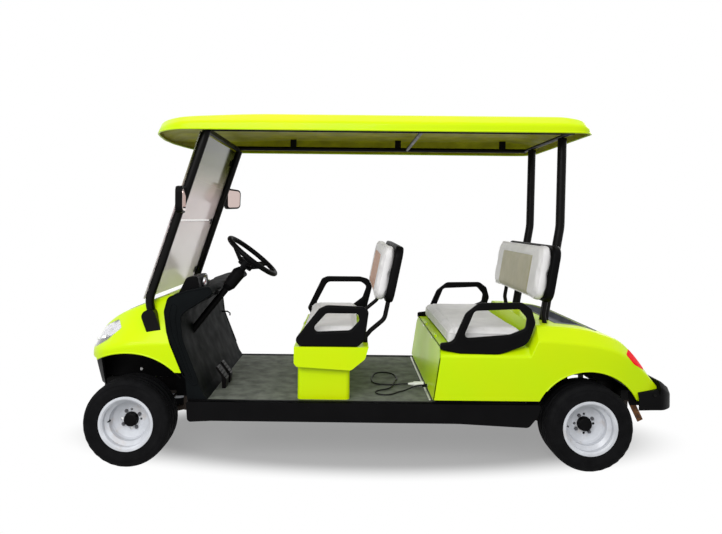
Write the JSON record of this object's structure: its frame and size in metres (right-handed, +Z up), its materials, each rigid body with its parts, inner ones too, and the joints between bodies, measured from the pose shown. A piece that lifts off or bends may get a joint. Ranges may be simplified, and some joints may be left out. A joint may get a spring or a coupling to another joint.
{
  "type": "golf cart",
  "caption": "Four-seat electric golf cart with a lime moulded body, flat canopy roof on struts, folded windscreen, two bench seats with loop arms and white pressed wheels.",
  "frame": {"origin": "on the ground under the middle of the cart's length and width", "axes": "+X forward, +Y to the cart's left, +Z up"},
  "size_m": [3.23, 1.2962, 1.8649],
  "materials": {
    "lime": "moulded gloss",
    "black_plastic": "moulded matt",
    "frame_black": "satin paint",
    "floor_rubber": "ribbed rubber",
    "lamp_clear": "clear lens",
    "screen_glass": "clear",
    "mirror_face": "mirror",
    "grey_plastic": "moulded matt",
    "lamp_red": "lens",
    "vinyl": "vinyl",
    "battery_case": "moulded",
    "cast_black": "painted",
    "spring_steel": "worn paint",
    "tyre": "moulded rubber",
    "wheel_white": "gloss paint",
    "white_plastic": "moulded"
  },
  "bodies": {
    "cart": {"chassis_frame": "frame_black", "floor_pan": "floor_rubber", "side_sills": "black_plastic", "front_cowl": "lime", "front_valance": "black_plastic", "wheel_liners": "black_plastic", "rear_liners": "black_plastic", "headlamps": "lamp_clear", "dashboard": "black_plastic", "instrument_pod": "black_plastic", "windscreen": "screen_glass", "front_struts": "frame_black", "wing_mirrors": "black_plastic", "mirror_glass": "mirror_face", "roof_shell": "lime", "roof_frame": "frame_black", "rear_struts": "frame_black", "rear_body": "lime", "deck_tray": "grey_plastic", "rear_bumper": "black_plastic", "tail_lamps": "lamp_red", "front_seat_box": "lime", "front_seat_back": "vinyl", "rear_seat_back": "vinyl", "seat_back_shells": "black_plastic", "front_armrests": "black_plastic", "rear_armrests": "black_plastic", "back_supports": "frame_black", "battery_block": "battery_case", "rear_axle": "cast_black", "front_axle": "frame_black", "suspension": "spring_steel", "steering_column": "black_plastic", "pedals": "frame_black", "charging_lead": "black_plastic", "lead_plug": "white_plastic", "lead_gland": "black_plastic"},
    "knuckle_left": {"knuckle_left": "cast_black"},
    "knuckle_right": {"knuckle_right": "cast_black"},
    "tie_rod": {"tie_rod": "spring_steel"},
    "steering_wheel": {"steering_wheel": "black_plastic"},
    "front_lid": {"front_cushion": "vinyl"},
    "rear_lid": {"rear_cushion": "vinyl"},
    "wheel_front_left": {"tyre_front_left": "tyre", "rim_front_left": "wheel_white"},
    "wheel_front_right": {"tyre_front_right": "tyre", "rim_front_right": "wheel_white"},
    "wheel_rear_left": {"tyre_rear_left": "tyre", "rim_rear_left": "wheel_white"},
    "wheel_rear_right": {"tyre_rear_right": "tyre", "rim_rear_right": "wheel_white"}
  },
  "joints": [
    {"name": "steer_left", "type": "hinge", "parent": "cart", "child": "knuckle_left", "pos_m": [1.306, 0.4, 0.2295], "axis": [0, 0, 1], "range_deg": [-26, 26]},
    {"name": "steer_right", "type": "hinge", "parent": "cart", "child": "knuckle_right", "pos_m": [1.306, -0.4, 0.2295], "axis": [0, 0, 1], "range_deg": [-26, 26]},
    {"name": "tie_rod_pivot", "type": "hinge", "parent": "knuckle_left", "child": "tie_rod", "pos_m": [1.176, 0.37, 0.2375], "axis": [0, 0, 1], "range_deg": [-28.1, 28.1]},
    {"name": "steering_wheel_turn", "type": "hinge", "parent": "cart", "child": "steering_wheel", "pos_m": [0.696, 0.3, 1.098], "axis": [-0.6211, 0, 0.7837], "range_deg": [-366, 366]},
    {"name": "front_lid_hinge", "type": "hinge", "parent": "cart", "child": "front_lid", "pos_m": [0.426, 0, 0.645], "axis": [0, 1, 0], "range_deg": [0, 75]},
    {"name": "rear_lid_hinge", "type": "hinge", "parent": "cart", "child": "rear_lid", "pos_m": [-0.357, 0, 0.645], "axis": [0, 1, 0], "range_deg": [0, 75]},
    {"name": "spin_front_left", "type": "hinge", "parent": "knuckle_left", "child": "wheel_front_left", "pos_m": [1.306, 0.4975, 0.2295], "axis": [0, 1, 0], "continuous": true},
    {"name": "spin_front_right", "type": "hinge", "parent": "knuckle_right", "child": "wheel_front_right", "pos_m": [1.306, -0.4975, 0.2295], "axis": [0, 1, 0], "continuous": true},
    {"name": "spin_rear_left", "type": "hinge", "parent": "cart", "child": "wheel_rear_left", "pos_m": [-1.122, 0.4975, 0.2295], "axis": [0, 1, 0], "continuous": true},
    {"name": "spin_rear_right", "type": "hinge", "parent": "cart", "child": "wheel_rear_right", "pos_m": [-1.122, -0.4975, 0.2295], "axis": [0, 1, 0], "continuous": true}
  ],
  "couplings": [
    {"joint": "steer_right", "follows": "steer_left", "ratio": 1},
    {"joint": "tie_rod_pivot", "follows": "steer_left", "ratio": -1.079},
    {"joint": "steering_wheel_turn", "follows": "steer_left", "ratio": 14}
  ]
}
